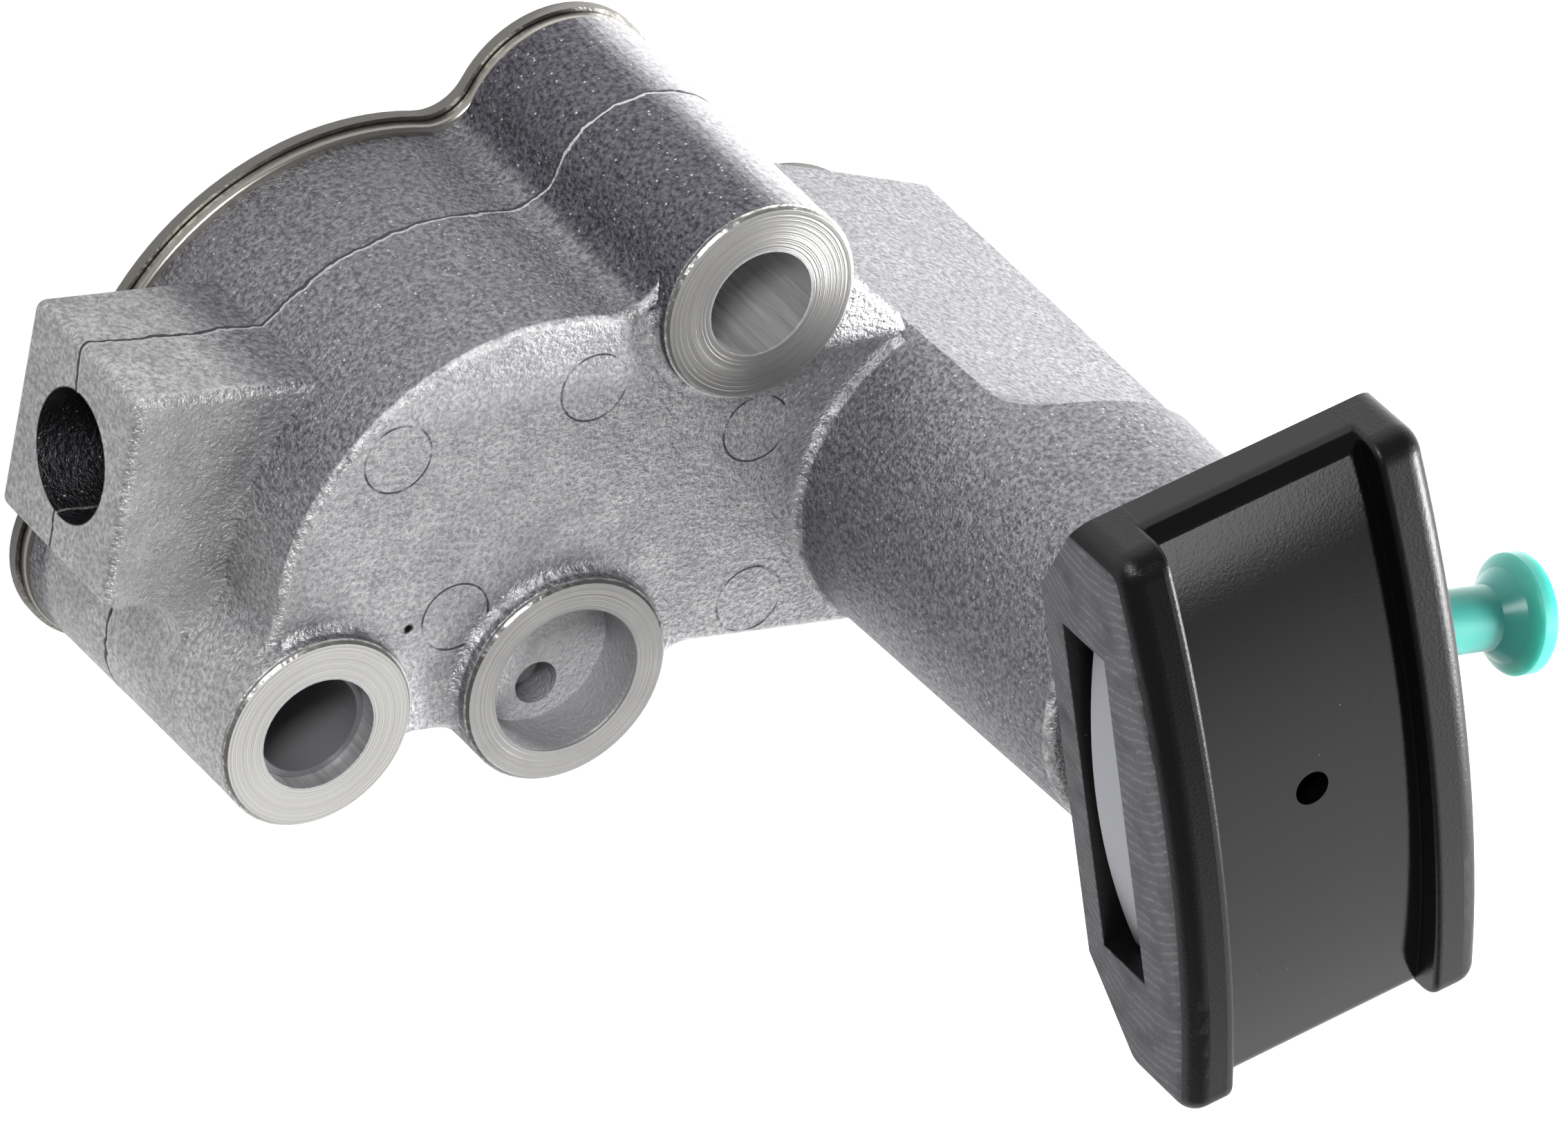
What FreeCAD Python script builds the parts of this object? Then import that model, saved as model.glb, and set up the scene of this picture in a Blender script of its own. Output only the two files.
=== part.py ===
"""Hydraulic timing chain tensioner: die-cast housing, steel gasket, plunger with a plastic shoe.

Millimetres. +Z is the plunger axis, away from the engine block. The origin is on that axis, in the
rear face of the gasket, so the part stands on the gasket. +X points from the square port boss
towards the plunger. Bolt, boss and plunger axes are all parallel to Z.
"""
import FreeCAD, Part
import math
import os

V = FreeCAD.Vector

# Heights above the rear face of the gasket
GASKET_LAYER = 0.75
GASKET_GAP = 0.10
HOUSING_BASE = 2 * GASKET_LAYER + GASKET_GAP
BOSS_FACE_HEIGHT = 25.0
BOSS_STEP = 1.3
FLAT_HEIGHT = BOSS_FACE_HEIGHT - BOSS_STEP
TUBE_FRONT = 50.6

# Places of the bosses in plan, measured from the plunger axis
TOP_X, TOP_Y = -17.8, 13.6
LOW_X, LOW_Y = -42.8, -12.1
BLIND_X, BLIND_Y = -26.2, -10.7
DOME_X, DOME_Y = -29.3, -3.9

# Radii of the casting
PLUNGER_R = 7.5
TUBE_WALL = 3.1
TUBE_DRAFT = 1.2
TUBE_RIM_ROUND = 0.8
TOP_R = 6.4
LOW_R = 6.25
BLIND_R = 6.8
DOME_R = 17.0
TUBE_R_FRONT = PLUNGER_R + TUBE_WALL
TUBE_R_BASE = TUBE_R_FRONT + TUBE_DRAFT
WALL_DRAFT = 0.45
CORNER_R = 3.0
EDGE_ROUND = 0.6
ROOT_FILLET = 0.7
RIM_CHAMFER = 0.25

# Clearance flat along the tube: its normal is this many degrees from +X
FLAT_ANGLE = 77.0
FLAT_DISTANCE = 8.4
FLAT_END = 31.6
FLAT_RUNOUT_R = 5.0

# Webs that join the bosses to the tube, in plan
WEB_TOP_SHOULDER = (-10.6, 14.2)
WEB_TOP_CORNER = (-6.5, 10.9)
WEB_LOW_Y = -10.1
WEB_BOSS_Y = -13.9

# Square port boss
PORT_LEFT = -54.3
PORT_WIDTH = 13.7
PORT_HEIGHT = 13.0
PORT_Y = 0.45
PORT_Z = 11.3
PORT_HOLE_R = 4.0
PORT_HOLE_Y = 0.4
PORT_HOLE_Z = 11.6
PORT_HOLE_DEPTH = 14.0
PORT_ROUND = 0.7

# Bolt holes, blind boss and rear face
BOLT_HOLE_R = 3.4
SLEEVE_BORE_R = 3.65
SLEEVE_WALL = 0.4
SLEEVE_FIT = 0.02
SLEEVE_SINK = 1.3
SLEEVE_TOE = 0.4
RECESS_R = 4.8
RECESS_DEPTH = 3.7
RECESS_HOLE_R = 1.4
RECESS_HOLE_DEPTH = 2.2
RECESS_HOLE_X, RECESS_HOLE_Y = 0.5, -2.3
REAR_POCKET_DEPTH = 3.4
REAR_POCKET_WALL = 3.6
OIL_GROOVE_WIDTH = 3.0
OIL_GROOVE_DEPTH = 2.0
OIL_INLET_R = 1.8
OIL_PORT_R = 2.6

# Gasket outline: the rear layer, and how far the front layer stands back from it
GASKET_TOP_R = 7.05
GASKET_LOW_R = 7.2
GASKET_BLIND_R = 7.4
GASKET_DOME_R = 18.3
GASKET_TUBE_R = 8.0
GASKET_WEB = 0.9
GASKET_STEP = 0.3
GASKET_BEAD = 0.35
GASKET_HOLE_CLEAR = 0.25
RIVET_INSET = 2.4
RIVET_ANGLES = (158.0, 8.0)
RIVET_R = 1.2
RIVET_LIP = 0.5
RIVET_HEAD = 0.4

# Plunger and its bore
PLUNGER_FIT = 0.03
BORE_FLOOR = 8.0
PLUNGER_REAR = 14.2
PLUNGER_BORE_R = 5.4
VENT_R = 0.9
TRAVEL = 10.0
WAIST_DEPTH = 0.6
WAIST_PLAY = 0.4
NECK_R = 5.5

# Retaining ring in the bore
RING_WIRE_R = 0.6
RING_BELOW_PIN = 5.4
RING_BITE = 0.2
RING_GAP_ANGLE = 40.0
RING_CLEAR = 0.15

# Transport pin
PIN_R = 2.0
PIN_HOLE_CLEAR = 0.06
PIN_BELOW_FRONT = 3.2
PIN_ENGAGE = 1.2
PIN_TIP_CLEAR = 0.15
PIN_PLAY_REAR = 0.65
PIN_PLAY_FRONT = 0.15
PIN_TIP_CHAMFER = 0.3
PIN_HEAD_R = 3.7
PIN_HEAD_FACE = 25.3
PIN_HEAD_RIM = 1.3
PIN_FLARE = 1.6

# Check valve at the foot of the bore
SEAT_THICKNESS = 4.0
SEAT_FIT = 0.02
SEAT_HOLE_R = 1.75
BALL_R = 2.5
BALL_SEAT_CLEAR = 0.02
BALL_LIFT = 0.8
CAGE_WALL = 0.6
CAGE_SIDE_CLEAR = 0.35
CAGE_FLANGE_R = 6.2
CAGE_WINDOW_R = 1.1
BALL_SPRING_R = 1.5
BALL_SPRING_WIRE_R = 0.15
BALL_SPRING_TURNS = 3
SPRING_END_CLEAR = 0.05

# Plunger spring and what it pushes
SPRING_WIRE_R = 0.65
SPRING_CLEAR = 0.25
SPRING_TURNS = 11
REDUCER_HEAD = 3.0
REDUCER_STEM_R = 3.1
REDUCER_STEM_LENGTH = 24.0
REDUCER_CLEAR = 0.15
VENT_DISC_THICKNESS = 1.6

# Shoe, in its own frame: x across the chain, y along it, turned about the plunger axis
SHOE_TURN = 19.9
SHOE_HALF_WIDTH = 10.2
SHOE_HALF_LENGTH = 20.6
SHOE_GAP = 1.2
SHOE_THICKNESS = 12.0
SHOE_CROWN_R = 90.0
SHOE_REAR_HALF_LENGTH = 13.8
SHOE_CHAMFER_HEIGHT = 4.6
CHANNEL_HALF_WIDTH = 7.0
CHANNEL_DEPTH = 1.6
CHANNEL_FLOOR_R = 76.0
CHANNEL_END_ROUND = 1.4
SHOE_WEB = 2.3
PLUNGER_NOSE = 8.9
FLANGE_OUTER_ROUND = 1.4
FLANGE_INNER_ROUND = 0.4
FLANGE_END_ROUND = 1.8
SHOE_BORE_CLEAR = 0.08
SHOE_BORE_END_GAP = 0.1
SHOE_VENT_R = 1.1

# Clip that holds the shoe on the plunger, slid in through the side window
WINDOW_RISE = 1.9
WINDOW_HEIGHT = 4.5
WINDOW_HALF_LENGTH = 12.1
WINDOW_REACH = 7.6
CLIP_THICKNESS = 3.1
CLIP_TOP_CLEAR = 0.08
CLIP_END_CLEAR = 0.4
CLIP_SIDE_R = 51.0
CLIP_NECK_CLEAR = 0.08
CLIP_INSET = 0.05
NECK_CLEAR = 0.1

# Heights that follow from the sizes above
PIN_HEIGHT = TUBE_FRONT - PIN_BELOW_FRONT
RING_HEIGHT = PIN_HEIGHT - RING_BELOW_PIN
SHOE_REAR = TUBE_FRONT + SHOE_GAP
SHOE_CROWN = SHOE_REAR + SHOE_THICKNESS
CHANNEL_FLOOR = SHOE_CROWN - CHANNEL_DEPTH
PLUNGER_FRONT = CHANNEL_FLOOR - SHOE_WEB
PLUNGER_BORE_END = PLUNGER_FRONT - PLUNGER_NOSE
WINDOW_FLOOR = SHOE_REAR + WINDOW_RISE
OVERCUT = 1.0


def disc(x, y, radius, z=0.0):
    """Flat round face, ready to extrude."""
    return Part.Face(Part.Wire(Part.makeCircle(radius, V(x, y, z))))


def patch(points, z=0.0):
    """Flat face with straight sides through the given plan points."""
    corners = [V(x, y, z) for x, y in points]
    return Part.Face(Part.makePolygon(corners + corners[:1]))


def joined(shapes):
    """One shape from several that overlap."""
    return shapes[0].fuse(shapes[1:]).removeSplitter()


def cylinder(x, y, radius, low, high):
    return Part.makeCylinder(radius, high - low, V(x, y, low))


def cone(x, y, radius_low, radius_high, low, high):
    return Part.makeCone(radius_low, radius_high, high - low, V(x, y, low))


def turned(profile, x=0.0, y=0.0, angle=360.0):
    """Solid of revolution about a line parallel to Z; the profile is (radius, height) points."""
    corners = [V(radius, 0, height) for radius, height in profile]
    face = Part.Face(Part.makePolygon(corners + corners[:1]))
    solid = face.revolve(V(0, 0, 0), V(0, 0, 1), angle)
    solid.translate(V(x, y, 0))
    return solid


def with_round_corners(face, radius):
    """Fills the inward corners of an outline with arcs: offset out, then back in."""
    grown = face.makeOffset2D(radius, 0, False, False, False)
    return grown.makeOffset2D(-radius, 0, False, False, False).Faces[0]


def grown_outline(face, margin):
    return face.makeOffset2D(margin, 0, False, False, False).Faces[0]


def at_height(face, z):
    lifted = face.copy()
    lifted.translate(V(0, 0, z))
    return lifted


def prism(face, low, high):
    return at_height(face, low).extrude(V(0, 0, high - low))


def drafted(face_low, face_high, low, high):
    """Tapered block between two outlines of the same make-up."""
    wires = [at_height(face_low, low).OuterWire, at_height(face_high, high).OuterWire]
    return Part.makeLoft(wires, True, True)


def root_fillet(x, y, radius, z, size):
    """Ring with a hollow quarter-round section, for the foot of a boss on a flat face."""
    foot = V(radius + size, 0, z)
    crest = V(radius, 0, z + size)
    middle = V(radius + size * (1 - math.sqrt(0.5)), 0, z + size * (1 - math.sqrt(0.5)))
    inner = V(radius - size, 0, z - size)
    edges = [Part.Arc(foot, middle, crest).toShape(),
             Part.makePolygon([crest, V(radius - size, 0, z + size), inner,
                               V(radius + size, 0, z - size), foot])]
    ring = Part.Face(Part.Wire(edges[:1] + edges[1].Edges)).revolve(V(0, 0, 0), V(0, 0, 1), 360)
    ring.translate(V(x, y, 0))
    return ring


def rounded(shape, wanted, radius):
    """Rounds the edges that the test picks."""
    edges = [edge for edge in shape.Edges if wanted(edge)]
    return shape.makeFillet(radius, edges) if edges else shape


def wire_section(mean_radius, wire_radius, height=0.0):
    """Cross-section of round wire, drawn with six sides, standing in the plane through the axis."""
    angles = [math.radians(60 * step + 30) for step in range(6)]
    corners = [V(mean_radius + wire_radius * math.cos(angle), 0, height + wire_radius * math.sin(angle))
               for angle in angles]
    return Part.makePolygon(corners + corners[:1])


def helix_spring(mean_radius, wire_radius, low, high, turns):
    """Wire wound round the plunger axis between two heights."""
    pitch = (high - low - 2 * wire_radius) / turns
    path = Part.makeHelix(pitch, pitch * turns, mean_radius)
    section = wire_section(mean_radius, wire_radius)
    coil = Part.Wire(path.Edges).makePipeShell([section], True, True)
    coil.translate(V(0, 0, low + wire_radius))
    return coil


def outline(dome_r, top_r, low_r, blind_r, margin, extra):
    """Plan outline round the dome, the bosses and the webs that run to the plunger axis."""
    left = LOW_X - DOME_R
    boss_y = WEB_BOSS_Y - margin
    low_y = WEB_LOW_Y - margin
    corner_x, corner_y = WEB_TOP_CORNER
    shoulder_x, shoulder_y = WEB_TOP_SHOULDER
    dome_side = patch([(left, boss_y), (BLIND_X, boss_y), (BLIND_X, low_y),
                       (DOME_R, low_y), (DOME_R, 2 * DOME_R), (left, 2 * DOME_R)])
    boss_web = patch([(LOW_X, LOW_Y), (LOW_X, boss_y), (BLIND_X, boss_y), (BLIND_X, LOW_Y)])
    tube_web = patch([(BLIND_X, 0), (BLIND_X, low_y), (0, low_y), (0, 0),
                      (corner_x, corner_y + margin), (shoulder_x, shoulder_y + margin),
                      (TOP_X, TOP_Y), (TOP_X, TOP_Y - TOP_R)])
    faces = [disc(DOME_X, DOME_Y, dome_r).common(dome_side).Faces[0], boss_web, tube_web,
             disc(TOP_X, TOP_Y, top_r), disc(LOW_X, LOW_Y, low_r), disc(BLIND_X, BLIND_Y, blind_r)]
    return with_round_corners(joined(faces + extra).Faces[0], CORNER_R)


def body_outline(margin=0.0):
    """Plan outline of the casting, grown by the margin."""
    return outline(DOME_R + margin, TOP_R + margin, LOW_R + margin, BLIND_R + margin, margin, [])


def rivet_places():
    """Plan points of the gasket's rivets, a little inside the wall of the rear pocket."""
    reach = DOME_R - REAR_POCKET_WALL - RIVET_INSET
    turns = [math.radians(angle) for angle in RIVET_ANGLES]
    return [(DOME_X + reach * math.cos(turn), DOME_Y + reach * math.sin(turn)) for turn in turns]


def port_boss():
    """Square boss on the left wall, with the gusset that runs into the low bolt boss."""
    low = PORT_Z - PORT_HEIGHT / 2
    bottom = PORT_Y - PORT_WIDTH / 2
    block = Part.makeBox(DOME_X - PORT_LEFT, PORT_WIDTH, PORT_HEIGHT, V(PORT_LEFT, bottom, low))
    block = rounded(block, lambda edge: edge.BoundBox.XMin < PORT_LEFT + 0.01, PORT_ROUND)
    flank = patch([(PORT_LEFT + PORT_ROUND, bottom), (LOW_X, bottom), (LOW_X, bottom + CORNER_R),
                   (PORT_LEFT + PORT_ROUND, bottom + CORNER_R)])
    boss = disc(LOW_X, LOW_Y, LOW_R)
    gusset = with_round_corners(joined([flank, boss]).Faces[0], CORNER_R)
    return [block, prism(gusset, low, low + PORT_HEIGHT)]


def tube():
    """Plunger guide with the long flat cast along one side."""
    solid = rounded(cone(0, 0, TUBE_R_BASE, TUBE_R_FRONT, HOUSING_BASE, TUBE_FRONT),
                    lambda edge: edge.BoundBox.ZMin > TUBE_FRONT - 0.01, TUBE_RIM_ROUND)
    reach = 2 * TUBE_R_BASE
    start = V(FLAT_DISTANCE, 0, HOUSING_BASE - OVERCUT)
    turn_in = V(FLAT_DISTANCE, 0, FLAT_END)
    arc_middle = V(FLAT_DISTANCE + FLAT_RUNOUT_R * (1 - math.sqrt(0.5)), 0,
                   FLAT_END + FLAT_RUNOUT_R * math.sqrt(0.5))
    arc_end = V(FLAT_DISTANCE + FLAT_RUNOUT_R, 0, FLAT_END + FLAT_RUNOUT_R)
    edges = [Part.LineSegment(start, turn_in).toShape(),
             Part.Arc(turn_in, arc_middle, arc_end).toShape()]
    edges += Part.makePolygon([arc_end, V(reach, 0, arc_end.z), V(reach, 0, start.z), start]).Edges
    tool = Part.Face(Part.Wire(edges)).extrude(V(0, 2 * reach, 0))
    tool.translate(V(0, -reach, 0))
    tool.rotate(V(0, 0, 0), V(0, 0, 1), FLAT_ANGLE)
    return solid.cut(tool)


def housing():
    """The casting, with its machined faces, bores and rear recesses."""
    front = body_outline()
    crest_low = FLAT_HEIGHT - 2 * EDGE_ROUND
    crest = rounded(prism(front, crest_low, FLAT_HEIGHT),
                    lambda edge: edge.BoundBox.ZMin > FLAT_HEIGHT - 0.01, EDGE_ROUND)
    skirt = drafted(body_outline(WALL_DRAFT), front, HOUSING_BASE, crest_low)
    pieces = [skirt, crest, tube()] + port_boss()
    inside = prism(grown_outline(front, -EDGE_ROUND), HOUSING_BASE, BOSS_FACE_HEIGHT)
    tube_r_at_flat = TUBE_R_BASE - (TUBE_R_BASE - TUBE_R_FRONT) * (
        (FLAT_HEIGHT - HOUSING_BASE) / (TUBE_FRONT - HOUSING_BASE))
    for x, y, radius in ((TOP_X, TOP_Y, TOP_R), (LOW_X, LOW_Y, LOW_R), (BLIND_X, BLIND_Y, BLIND_R)):
        pieces.append(cylinder(x, y, radius, FLAT_HEIGHT - EDGE_ROUND - 0.2,
                               BOSS_FACE_HEIGHT - RIM_CHAMFER))
        pieces.append(cone(x, y, radius, radius - RIM_CHAMFER,
                           BOSS_FACE_HEIGHT - RIM_CHAMFER, BOSS_FACE_HEIGHT))
        pieces.append(root_fillet(x, y, radius, FLAT_HEIGHT, ROOT_FILLET).common(inside))
    pieces.append(root_fillet(0, 0, tube_r_at_flat, FLAT_HEIGHT, ROOT_FILLET).common(inside))
    casting = joined(pieces)

    bore_r = PLUNGER_R + PLUNGER_FIT
    ring_groove_r = bore_r - RING_BITE + 2 * RING_WIRE_R + RING_CLEAR
    groove_half = RING_WIRE_R + RING_CLEAR
    floor_z = HOUSING_BASE + REAR_POCKET_DEPTH
    pocket = disc(DOME_X, DOME_Y, DOME_R - REAR_POCKET_WALL)
    pocket = pocket.cut([disc(LOW_X, LOW_Y, LOW_R + 0.5), disc(BLIND_X, BLIND_Y, BLIND_R + 0.5)])
    groove = Part.makeBox(-DOME_X, OIL_GROOVE_WIDTH, OIL_GROOVE_DEPTH + OVERCUT,
                          V(DOME_X, -OIL_GROOVE_WIDTH / 2, HOUSING_BASE - OVERCUT))
    cuts = [
        cylinder(TOP_X, TOP_Y, BOLT_HOLE_R, 0, BOSS_FACE_HEIGHT + OVERCUT),
        cylinder(LOW_X, LOW_Y, SLEEVE_BORE_R, 0, BOSS_FACE_HEIGHT + OVERCUT),
        cylinder(BLIND_X, BLIND_Y, RECESS_R, BOSS_FACE_HEIGHT - RECESS_DEPTH, BOSS_FACE_HEIGHT + OVERCUT),
        cylinder(BLIND_X + RECESS_HOLE_X, BLIND_Y + RECESS_HOLE_Y, RECESS_HOLE_R,
                 BOSS_FACE_HEIGHT - RECESS_DEPTH - RECESS_HOLE_DEPTH, BOSS_FACE_HEIGHT),
        Part.makeCylinder(PORT_HOLE_R, PORT_HOLE_DEPTH + OVERCUT,
                          V(PORT_LEFT - OVERCUT, PORT_HOLE_Y, PORT_HOLE_Z), V(1, 0, 0)),
        cylinder(0, 0, bore_r, BORE_FLOOR, TUBE_FRONT + OVERCUT),
        cylinder(0, 0, ring_groove_r, RING_HEIGHT - groove_half, RING_HEIGHT + groove_half),
        cone(0, 0, bore_r, bore_r + 1.4, TUBE_FRONT - 0.7, TUBE_FRONT + 0.7),
        Part.makeCylinder(PIN_R + PIN_HOLE_CLEAR, TUBE_R_BASE,
                          V(bore_r - OVERCUT, 0, PIN_HEIGHT), V(1, 0, 0)),
        cylinder(0, 0, OIL_INLET_R, HOUSING_BASE, BORE_FLOOR + OVERCUT),
        prism(pocket.Faces[0], HOUSING_BASE - OVERCUT, floor_z),
        groove,
    ]
    return casting.cut(cuts).removeSplitter()


def gasket_layer(step, low, bead=0.0):
    """Stamped steel sheet that follows the casting, with its bolt, oil and rivet holes.

    The bead is the round that the front layer has along its front edge.
    """
    tube_pad = disc(0, 0, GASKET_TUBE_R - step)
    edge = outline(GASKET_DOME_R - step, GASKET_TOP_R - step, GASKET_LOW_R - step,
                   GASKET_BLIND_R - step, GASKET_WEB - step, [tube_pad])
    sheet = prism(edge, low, low + GASKET_LAYER)
    if bead:
        sheet = rounded(sheet, lambda rim: rim.BoundBox.ZMin > low + GASKET_LAYER - 0.01, bead)
    holes = [(TOP_X, TOP_Y, BOLT_HOLE_R + GASKET_HOLE_CLEAR),
             (LOW_X, LOW_Y, SLEEVE_BORE_R + GASKET_HOLE_CLEAR),
             ((DOME_X + BLIND_X) / 2, DOME_Y + DOME_R / 2, OIL_PORT_R)]
    holes += [(x, y, RIVET_R) for x, y in rivet_places()]
    return sheet.cut([cylinder(x, y, radius, low - OVERCUT, low + GASKET_LAYER + OVERCUT)
                      for x, y, radius in holes])


def gasket_rivets():
    """Two flush rivets that hold the gasket's layers together under the rear recess."""
    rivets = []
    for x, y in rivet_places():
        shank = cylinder(x, y, RIVET_R, 0.0, HOUSING_BASE)
        head = cylinder(x, y, RIVET_R + RIVET_LIP, HOUSING_BASE, HOUSING_BASE + RIVET_HEAD)
        rivets.append(joined([shank, head]))
    return Part.makeCompound(rivets)


def locating_sleeve():
    """Steel sleeve that sits a little below the face of the low bolt boss."""
    outer = SLEEVE_BORE_R - SLEEVE_FIT
    high = BOSS_FACE_HEIGHT - SLEEVE_SINK
    tube_wall = cylinder(LOW_X, LOW_Y, outer, SLEEVE_TOE, high)
    return tube_wall.cut(cylinder(LOW_X, LOW_Y, outer - SLEEVE_WALL, 0, high + OVERCUT))


def plunger():
    """Hollow steel plunger with its waist, its pin groove and the neck for the clip."""
    waist_low = RING_HEIGHT - RING_WIRE_R - TRAVEL - WAIST_PLAY
    waist_high = RING_HEIGHT + RING_WIRE_R + WAIST_PLAY
    groove_r = PLUNGER_R - PIN_ENGAGE - PIN_TIP_CLEAR
    groove_low = PIN_HEIGHT - PIN_R - PIN_PLAY_REAR
    groove_high = PIN_HEIGHT + PIN_R + PIN_PLAY_FRONT
    neck_high = WINDOW_FLOOR + WINDOW_HEIGHT + NECK_CLEAR
    neck_low = neck_high - CLIP_THICKNESS - CLIP_TOP_CLEAR - 2 * NECK_CLEAR
    profile = [(PLUNGER_BORE_R, PLUNGER_REAR), (PLUNGER_R - 0.5, PLUNGER_REAR),
               (PLUNGER_R, PLUNGER_REAR + 0.5), (PLUNGER_R, waist_low),
               (PLUNGER_R - WAIST_DEPTH, waist_low), (PLUNGER_R - WAIST_DEPTH, waist_high),
               (PLUNGER_R, waist_high), (PLUNGER_R, groove_low), (groove_r, groove_low),
               (groove_r, groove_high), (PLUNGER_R, groove_high), (PLUNGER_R, neck_low),
               (NECK_R, neck_low), (NECK_R, neck_high), (PLUNGER_R, neck_high),
               (PLUNGER_R, PLUNGER_FRONT - 0.5), (PLUNGER_R - 0.5, PLUNGER_FRONT),
               (VENT_R, PLUNGER_FRONT), (VENT_R, PLUNGER_BORE_END), (PLUNGER_BORE_R, PLUNGER_BORE_END)]
    return turned(profile)


def retaining_ring():
    """Open wire ring that sits in the bore groove and rides in the plunger's waist."""
    inner = PLUNGER_R + PLUNGER_FIT - RING_BITE
    section = wire_section(inner + RING_WIRE_R, RING_WIRE_R, RING_HEIGHT)
    ring = Part.Face(section).revolve(V(0, 0, 0), V(0, 0, 1), 360)
    reach = 2 * PLUNGER_R
    half = math.radians(RING_GAP_ANGLE / 2)
    gap = patch([(0, 0), (-reach, reach * math.tan(half)), (-reach, -reach * math.tan(half))])
    return ring.cut(prism(gap, RING_HEIGHT - OVERCUT, RING_HEIGHT + OVERCUT))


def transport_pin():
    """Plastic pin along +X, with a flared round head; its tip sits in the plunger groove."""
    tip = PLUNGER_R - PIN_ENGAGE
    head_back = PIN_HEAD_FACE - PIN_HEAD_RIM
    profile = [(0, tip), (PIN_R - PIN_TIP_CHAMFER, tip), (PIN_R, tip + PIN_TIP_CHAMFER),
               (PIN_R, head_back - PIN_FLARE), (PIN_R + 0.9, head_back - 0.45),
               (PIN_HEAD_R - 0.2, head_back), (PIN_HEAD_R, head_back + 0.2),
               (PIN_HEAD_R, PIN_HEAD_FACE - 0.2), (PIN_HEAD_R - 0.2, PIN_HEAD_FACE),
               (0, PIN_HEAD_FACE)]
    pin = turned(profile)
    pin.rotate(V(0, 0, 0), V(0, 1, 0), 90)
    pin.translate(V(0, 0, PIN_HEIGHT))
    return pin


def ball_height():
    """Centre of the check ball when it rests on the rim of the seat's hole."""
    seat_top = BORE_FLOOR + SEAT_THICKNESS
    return seat_top + math.sqrt(BALL_R ** 2 - SEAT_HOLE_R ** 2) + BALL_SEAT_CLEAR


def ball_spring_foot():
    """Height at which the light spring's first turn rests on the ball."""
    inner = BALL_SPRING_R - BALL_SPRING_WIRE_R
    return ball_height() + math.sqrt(BALL_R ** 2 - inner ** 2) + SPRING_END_CLEAR


def cage_roof():
    """Inner roof of the cage: room for the ball's lift with its spring pressed solid."""
    solid_height = 2 * BALL_SPRING_WIRE_R * (BALL_SPRING_TURNS + 1)
    return ball_spring_foot() + BALL_LIFT + solid_height


def valve_seat():
    """Steel disc at the foot of the bore."""
    top = BORE_FLOOR + SEAT_THICKNESS
    outer = PLUNGER_R + PLUNGER_FIT - SEAT_FIT
    profile = [(SEAT_HOLE_R, BORE_FLOOR), (outer - 0.4, BORE_FLOOR), (outer, BORE_FLOOR + 0.4),
               (outer, top), (SEAT_HOLE_R, top)]
    return turned(profile)


def ball_cage():
    """Drawn sheet cap over the check ball, with four side windows."""
    foot = BORE_FLOOR + SEAT_THICKNESS
    top = cage_roof() + CAGE_WALL
    inner = BALL_R + CAGE_SIDE_CLEAR
    outer = inner + CAGE_WALL
    profile = [(inner, foot), (CAGE_FLANGE_R, foot), (CAGE_FLANGE_R, foot + CAGE_WALL),
               (outer, foot + CAGE_WALL), (outer, top - CAGE_WALL), (outer - CAGE_WALL, top),
               (BALL_SPRING_R / 2, top), (BALL_SPRING_R / 2, top - CAGE_WALL), (inner, top - CAGE_WALL)]
    cap = turned(profile)
    reach = 2 * outer
    window_z = ball_height() + BALL_LIFT / 2
    windows = [Part.makeCylinder(CAGE_WINDOW_R, 2 * reach, V(-reach, 0, window_z), V(1, 0, 0)),
               Part.makeCylinder(CAGE_WINDOW_R, 2 * reach, V(0, -reach, window_z), V(0, 1, 0))]
    return cap.cut(windows)


def ball_spring():
    """Light spring that holds the check ball on its seat."""
    return helix_spring(BALL_SPRING_R, BALL_SPRING_WIRE_R, ball_spring_foot(),
                        cage_roof() - SPRING_END_CLEAR, BALL_SPRING_TURNS)


def plunger_spring():
    """Main spring between the flange of the cage and the head of the volume reducer."""
    low = BORE_FLOOR + SEAT_THICKNESS + CAGE_WALL + SPRING_END_CLEAR
    high = reducer_head_low() - SPRING_END_CLEAR
    mean = PLUNGER_BORE_R - SPRING_CLEAR - SPRING_WIRE_R
    return helix_spring(mean, SPRING_WIRE_R, low, high, SPRING_TURNS)


def reducer_head_low():
    return PLUNGER_BORE_END - VENT_DISC_THICKNESS - REDUCER_HEAD - 2 * REDUCER_CLEAR


def volume_reducer():
    """Plastic filler inside the plunger: a head under the vent disc and a long stem."""
    low = reducer_head_low()
    head_r = PLUNGER_BORE_R - REDUCER_CLEAR
    high = low + REDUCER_HEAD
    profile = [(0, low - REDUCER_STEM_LENGTH), (REDUCER_STEM_R - 0.6, low - REDUCER_STEM_LENGTH),
               (REDUCER_STEM_R, low - REDUCER_STEM_LENGTH + 0.6), (REDUCER_STEM_R, low),
               (head_r, low), (head_r, high), (0, high)]
    return turned(profile)


def vent_disc():
    """Thin disc under the vent hole, with the spiral bleed groove seen as one ring."""
    high = PLUNGER_BORE_END - REDUCER_CLEAR / 2
    low = high - VENT_DISC_THICKNESS
    outer = PLUNGER_BORE_R - REDUCER_CLEAR / 2
    body = cylinder(0, 0, outer, low, high)
    ring = cylinder(0, 0, outer * 0.6, high - 0.4, high + OVERCUT).cut(
        cylinder(0, 0, outer * 0.6 - 0.5, high - 0.4, high + OVERCUT))
    return body.cut(ring)


def crown_profile(half_length, crest, radius):
    """Arc along the chain: its two ends and its middle, in the plane across x."""
    drop = radius - math.sqrt(radius ** 2 - half_length ** 2)
    return V(0, half_length, crest - drop), V(0, 0, crest), V(0, -half_length, crest - drop)


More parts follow.
